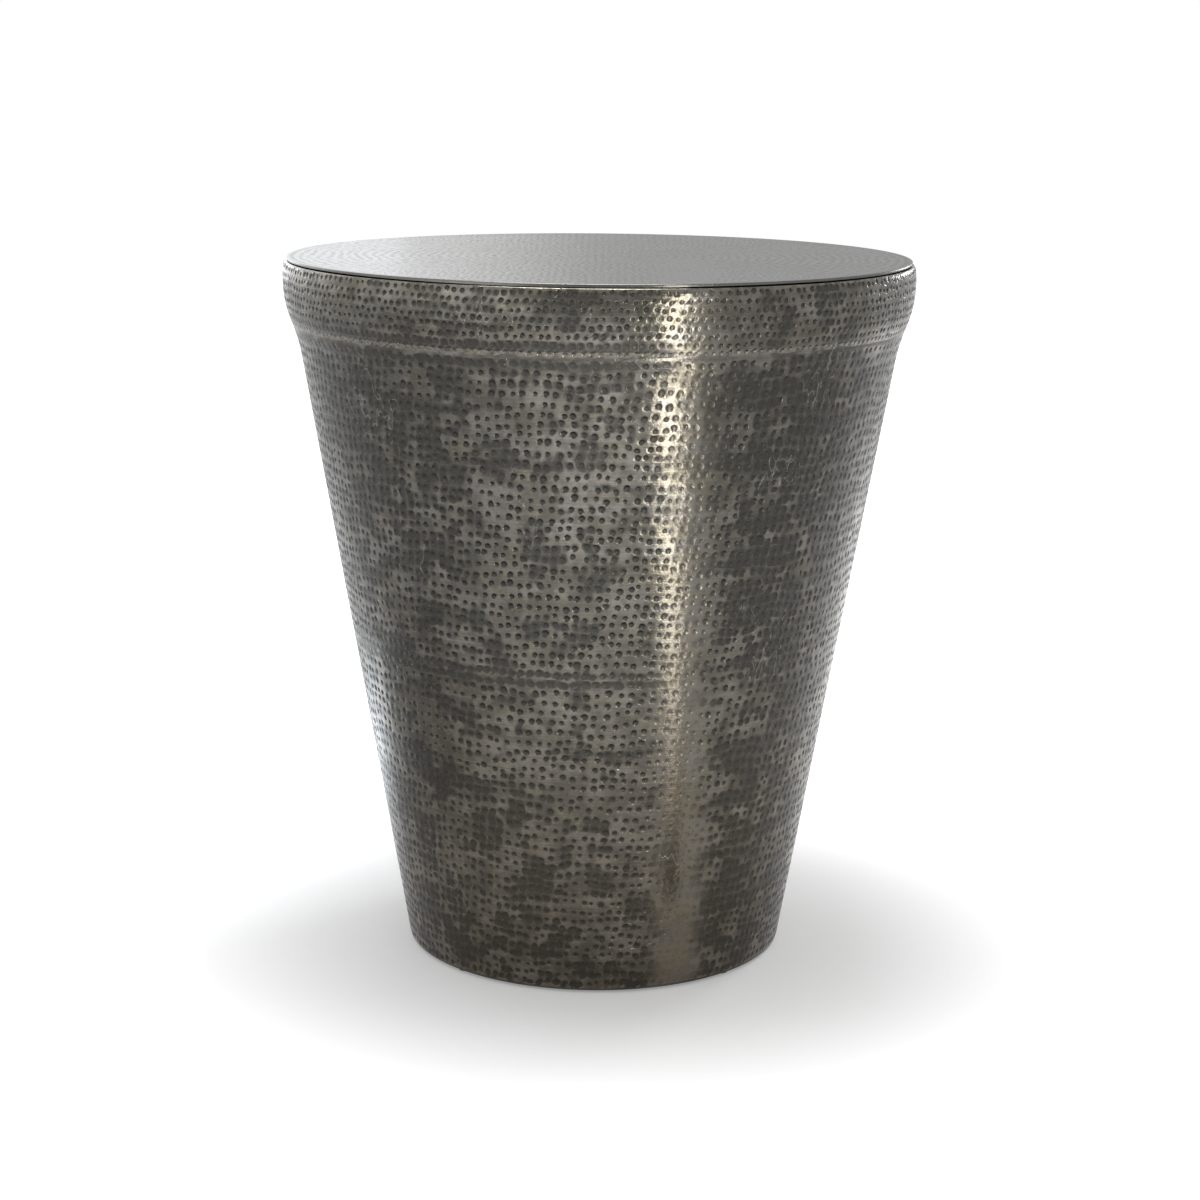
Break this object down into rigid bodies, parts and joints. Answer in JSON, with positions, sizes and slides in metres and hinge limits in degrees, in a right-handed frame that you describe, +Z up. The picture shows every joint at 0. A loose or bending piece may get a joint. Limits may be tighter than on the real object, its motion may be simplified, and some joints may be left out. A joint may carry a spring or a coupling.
{
  "type": "drum side table",
  "caption": "Round side table: a tapered drum of hammered sheet metal with a rounded shoulder and a flat top.",
  "frame": {"origin": "on the floor under the middle of the drum", "axes": "+Z up along the axis of the drum, -Y towards the viewer of the picture, +X to the viewer's right"},
  "size_m": [0.4984, 0.4984, 0.559],
  "materials": {
    "hammered_metal": "hammered sheet with an aged pewter patina",
    "board": "raw fibreboard",
    "hardware": "zinc plated",
    "glide": "black nylon"
  },
  "bodies": {
    "root": {"top_plate": "hammered_metal", "top_board": "board", "shoulder_ring": "hammered_metal", "upper_cone": "hammered_metal", "lower_cone": "hammered_metal", "base_ring": "hardware", "top_clip_1": "hardware", "top_clip_2": "hardware", "top_clip_3": "hardware", "top_clip_4": "hardware", "clip_screws": "hardware", "clip_rivets": "hardware", "glide_1": "glide", "glide_2": "glide", "glide_3": "glide", "glide_4": "glide"}
  },
  "joints": []
}
